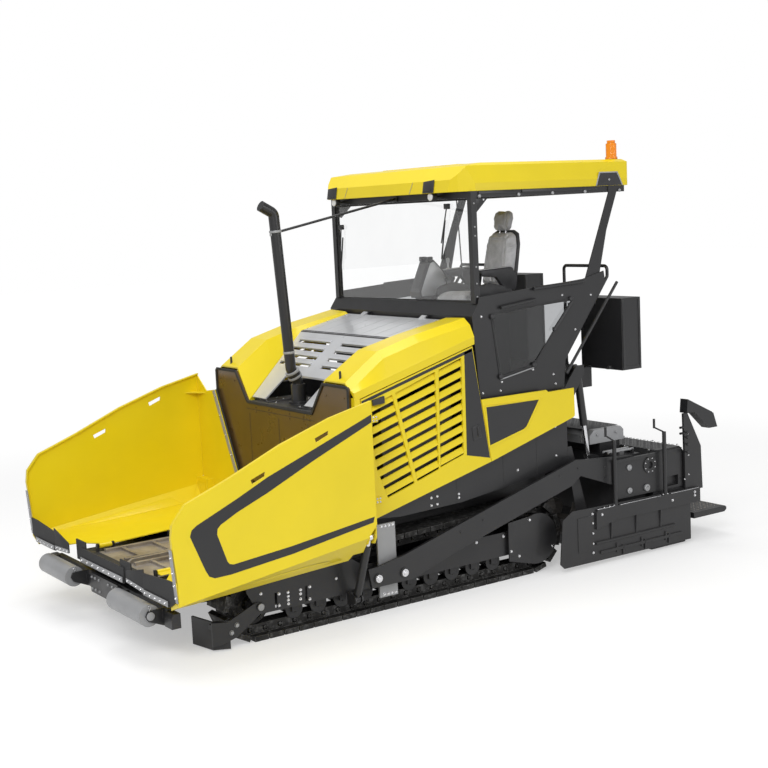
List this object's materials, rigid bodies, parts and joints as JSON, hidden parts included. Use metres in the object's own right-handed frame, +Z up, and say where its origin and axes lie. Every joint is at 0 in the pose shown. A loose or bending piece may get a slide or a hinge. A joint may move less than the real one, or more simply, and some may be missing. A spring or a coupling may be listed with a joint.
{
  "type": "asphalt paver",
  "caption": "Tracked asphalt paver with tilting hopper wings, tunnel conveyor, augers, extending screed and a canopied operator platform.",
  "frame": {"origin": "on the ground under the middle of the machine's length and width", "axes": "+X is the direction of travel, +Y the machine's left side, +Z up"},
  "size_m": [6.44, 3.2, 4.07],
  "materials": {
    "yellow_paint": "semi-gloss paint with dust",
    "dark_paint": "satin anthracite paint",
    "silver_paint": "satin silver paint",
    "light_grey_paint": "satin grey paint",
    "bronze_paint": "worn paint with bitumen film",
    "engine_paint": "satin",
    "worn_steel": "worn by asphalt",
    "track_steel": "worn, dry mud in the corners",
    "rubber_flap": "matt",
    "chrome_rod": "polished",
    "seat_leather": "grained, matt",
    "window_glass": "clear",
    "amber_lens": "translucent amber",
    "lamp_housing": "satin"
  },
  "bodies": {
    "chassis": {"beacon": "amber_lens", "bulkhead": "bronze_paint", "canopy_frame": "dark_paint", "chassis_frame": "dark_paint", "conveyor": "worn_steel", "engine": "engine_paint", "exhaust": "dark_paint", "handrails": "dark_paint", "hopper_apron": "rubber_flap", "platform_floor": "dark_paint", "platform_walls": "dark_paint", "rear_boxes": "dark_paint", "rear_brackets": "dark_paint", "roof": "yellow_paint", "seat_bases": "dark_paint", "seats": "seat_leather", "side_panels": "yellow_paint", "tow_guides": "light_grey_paint", "track_deflectors": "dark_paint", "track_frames": "dark_paint", "track_left": "track_steel", "track_right": "track_steel", "track_wheels": "track_steel", "window_glass": "window_glass", "wing_cylinder_feet": "dark_paint", "work_lamps": "lamp_housing"},
    "auger_left_body": {"auger_left": "worn_steel"},
    "auger_right_body": {"auger_right": "worn_steel"},
    "door_left_body": {"door_left": "yellow_paint"},
    "door_right_body": {"door_right": "yellow_paint"},
    "extension_left_body": {"extension_left": "dark_paint"},
    "extension_right_body": {"extension_right": "dark_paint"},
    "hood_body": {"hood": "silver_paint"},
    "lift_cylinders_body": {"lift_cylinders": "dark_paint"},
    "lift_rods_body": {"lift_rods": "chrome_rod"},
    "push_beam_body": {"push_beam": "dark_paint"},
    "push_roller_left_body": {"push_roller_left": "light_grey_paint"},
    "push_roller_right_body": {"push_roller_right": "light_grey_paint"},
    "screed_body": {"screed_cover": "light_grey_paint", "screed_frame": "dark_paint", "tow_arms": "dark_paint"},
    "wing_left_body": {"wing_apron_left": "rubber_flap", "wing_left": "yellow_paint"},
    "wing_right_body": {"wing_apron_right": "rubber_flap", "wing_right": "yellow_paint"},
    "wing_cylinder_left_body": {"wing_cylinder_left": "dark_paint"},
    "wing_cylinder_right_body": {"wing_cylinder_right": "dark_paint"},
    "wing_rod_left_body": {"wing_rod_left": "chrome_rod"},
    "wing_rod_right_body": {"wing_rod_right": "chrome_rod"}
  },
  "joints": [
    {"name": "wing_left_fold", "type": "hinge", "parent": "chassis", "child": "wing_left_body", "pos_m": [2.05, 0.62, 0.6], "axis": [1, 0, 0], "range_deg": [0, 35]},
    {"name": "wing_cylinder_left_swing", "type": "hinge", "parent": "chassis", "child": "wing_cylinder_left_body", "pos_m": [1.29, 1.29, 0.2], "axis": [1, 0, 0], "range_deg": [0, 24]},
    {"name": "wing_rod_left_slide", "type": "slide", "parent": "wing_cylinder_left_body", "child": "wing_rod_left_body", "axis": [0, 0.3768, 0.9263], "range_m": [0, 0.442]},
    {"name": "push_roller_left_turn", "type": "hinge", "parent": "push_beam_body", "child": "push_roller_left_body", "pos_m": [3.13, 0.79, 0.406], "axis": [0, 1, 0], "continuous": true},
    {"name": "door_left_open", "type": "hinge", "parent": "chassis", "child": "door_left_body", "pos_m": [1.15, 1.287, 1.4], "axis": [0, 0, -1], "range_deg": [0, 90]},
    {"name": "auger_left_turn", "type": "hinge", "parent": "chassis", "child": "auger_left_body", "pos_m": [-1.43, 0.6, 0.4], "axis": [0, 1, 0], "continuous": true},
    {"name": "extension_left_slide", "type": "slide", "parent": "screed_body", "child": "extension_left_body", "axis": [0, 1, 0], "range_m": [0, 1.2]},
    {"name": "wing_right_fold", "type": "hinge", "parent": "chassis", "child": "wing_right_body", "pos_m": [2.05, -0.62, 0.6], "axis": [-1, 0, 0], "range_deg": [0, 35]},
    {"name": "wing_cylinder_right_swing", "type": "hinge", "parent": "chassis", "child": "wing_cylinder_right_body", "pos_m": [1.29, -1.29, 0.2], "axis": [-1, 0, 0], "range_deg": [0, 24]},
    {"name": "wing_rod_right_slide", "type": "slide", "parent": "wing_cylinder_right_body", "child": "wing_rod_right_body", "axis": [0, -0.3768, 0.9263], "range_m": [0, 0.442]},
    {"name": "push_roller_right_turn", "type": "hinge", "parent": "push_beam_body", "child": "push_roller_right_body", "pos_m": [3.13, -0.79, 0.406], "axis": [0, 1, 0], "continuous": true},
    {"name": "door_right_open", "type": "hinge", "parent": "chassis", "child": "door_right_body", "pos_m": [1.15, -1.287, 1.4], "axis": [0, 0, 1], "range_deg": [0, 90]},
    {"name": "auger_right_turn", "type": "hinge", "parent": "chassis", "child": "auger_right_body", "pos_m": [-1.43, -0.6, 0.4], "axis": [0, 1, 0], "continuous": true},
    {"name": "extension_right_slide", "type": "slide", "parent": "screed_body", "child": "extension_right_body", "axis": [0, -1, 0], "range_m": [0, 1.2]},
    {"name": "push_beam_swing", "type": "hinge", "parent": "chassis", "child": "push_beam_body", "pos_m": [2.935, 0, 0.378], "axis": [0, 0, 1], "range_deg": [-4, 4]},
    {"name": "hood_open", "type": "hinge", "parent": "chassis", "child": "hood_body", "pos_m": [-0.126, 0, 2.484], "axis": [0, -1, 0], "range_deg": [0, 45]},
    {"name": "screed_lift", "type": "hinge", "parent": "chassis", "child": "screed_body", "pos_m": [0.935, 0, 0.352], "axis": [0, 1, 0], "range_deg": [0, 6]},
    {"name": "lift_cylinders_swing", "type": "hinge", "parent": "chassis", "child": "lift_cylinders_body", "pos_m": [-1.49, 0, 1.88], "axis": [0, -1, 0], "range_deg": [0, 4.1]},
    {"name": "lift_rods_slide", "type": "slide", "parent": "lift_cylinders_body", "child": "lift_rods_body", "axis": [0.1336, 0, 0.991], "range_m": [0, 0.27]}
  ],
  "couplings": [
    {"joint": "wing_cylinder_left_swing", "follows": "wing_left_fold", "ratio": 0.6834},
    {"joint": "wing_rod_left_slide", "follows": "wing_left_fold", "m_per_rad": 0.7222},
    {"joint": "wing_cylinder_right_swing", "follows": "wing_right_fold", "ratio": 0.6834},
    {"joint": "wing_rod_right_slide", "follows": "wing_right_fold", "m_per_rad": 0.7222},
    {"joint": "lift_cylinders_swing", "follows": "screed_lift", "ratio": 0.68146},
    {"joint": "lift_rods_slide", "follows": "screed_lift", "m_per_rad": 2.5721}
  ]
}
